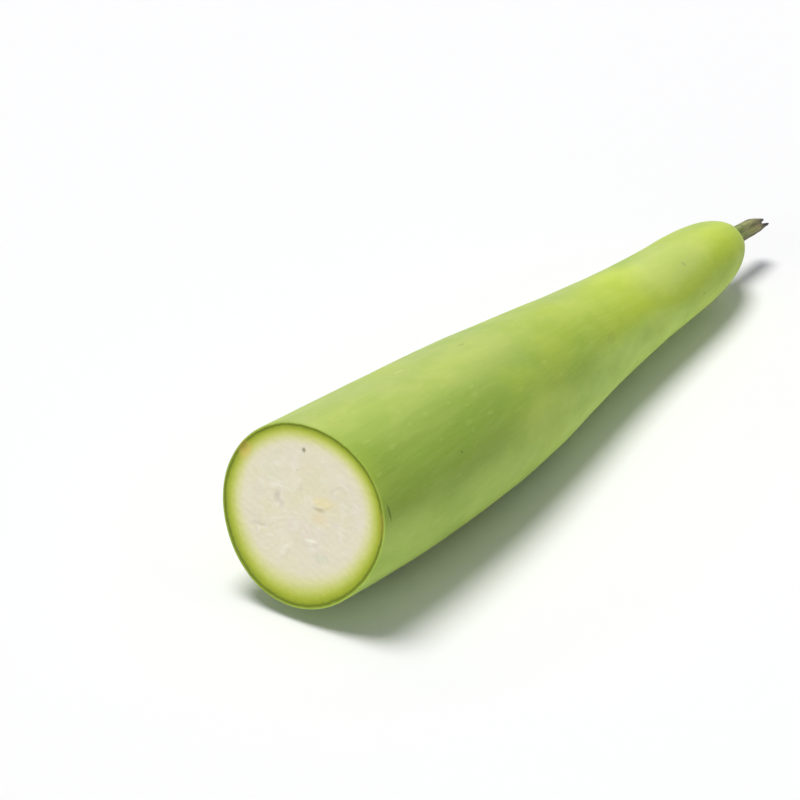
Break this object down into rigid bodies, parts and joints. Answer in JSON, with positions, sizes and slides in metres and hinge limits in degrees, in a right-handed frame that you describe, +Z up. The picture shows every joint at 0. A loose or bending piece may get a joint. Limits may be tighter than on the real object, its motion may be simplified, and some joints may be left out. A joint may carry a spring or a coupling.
{
  "type": "bottle gourd",
  "caption": "Stem half of a bottle gourd, cut straight across, pale green and tapering from a wide cut face to a rounded neck with a short dried stem; lies on its side as fresh produce.",
  "frame": {"origin": "middle of the bottom of the box around the whole part, on the surface it lies on", "axes": "+X along the gourd from the cut face to the stem, +Z up, +Y to the left of +X"},
  "size_m": [0.3846, 0.0784, 0.0795],
  "materials": {
    "skin": "waxy, soft sheen; cut face moist pale flesh",
    "stem": "dry, ridged, fibrous"
  },
  "bodies": {
    "root": {"gourd_body": "skin", "stem": "stem"}
  },
  "joints": []
}
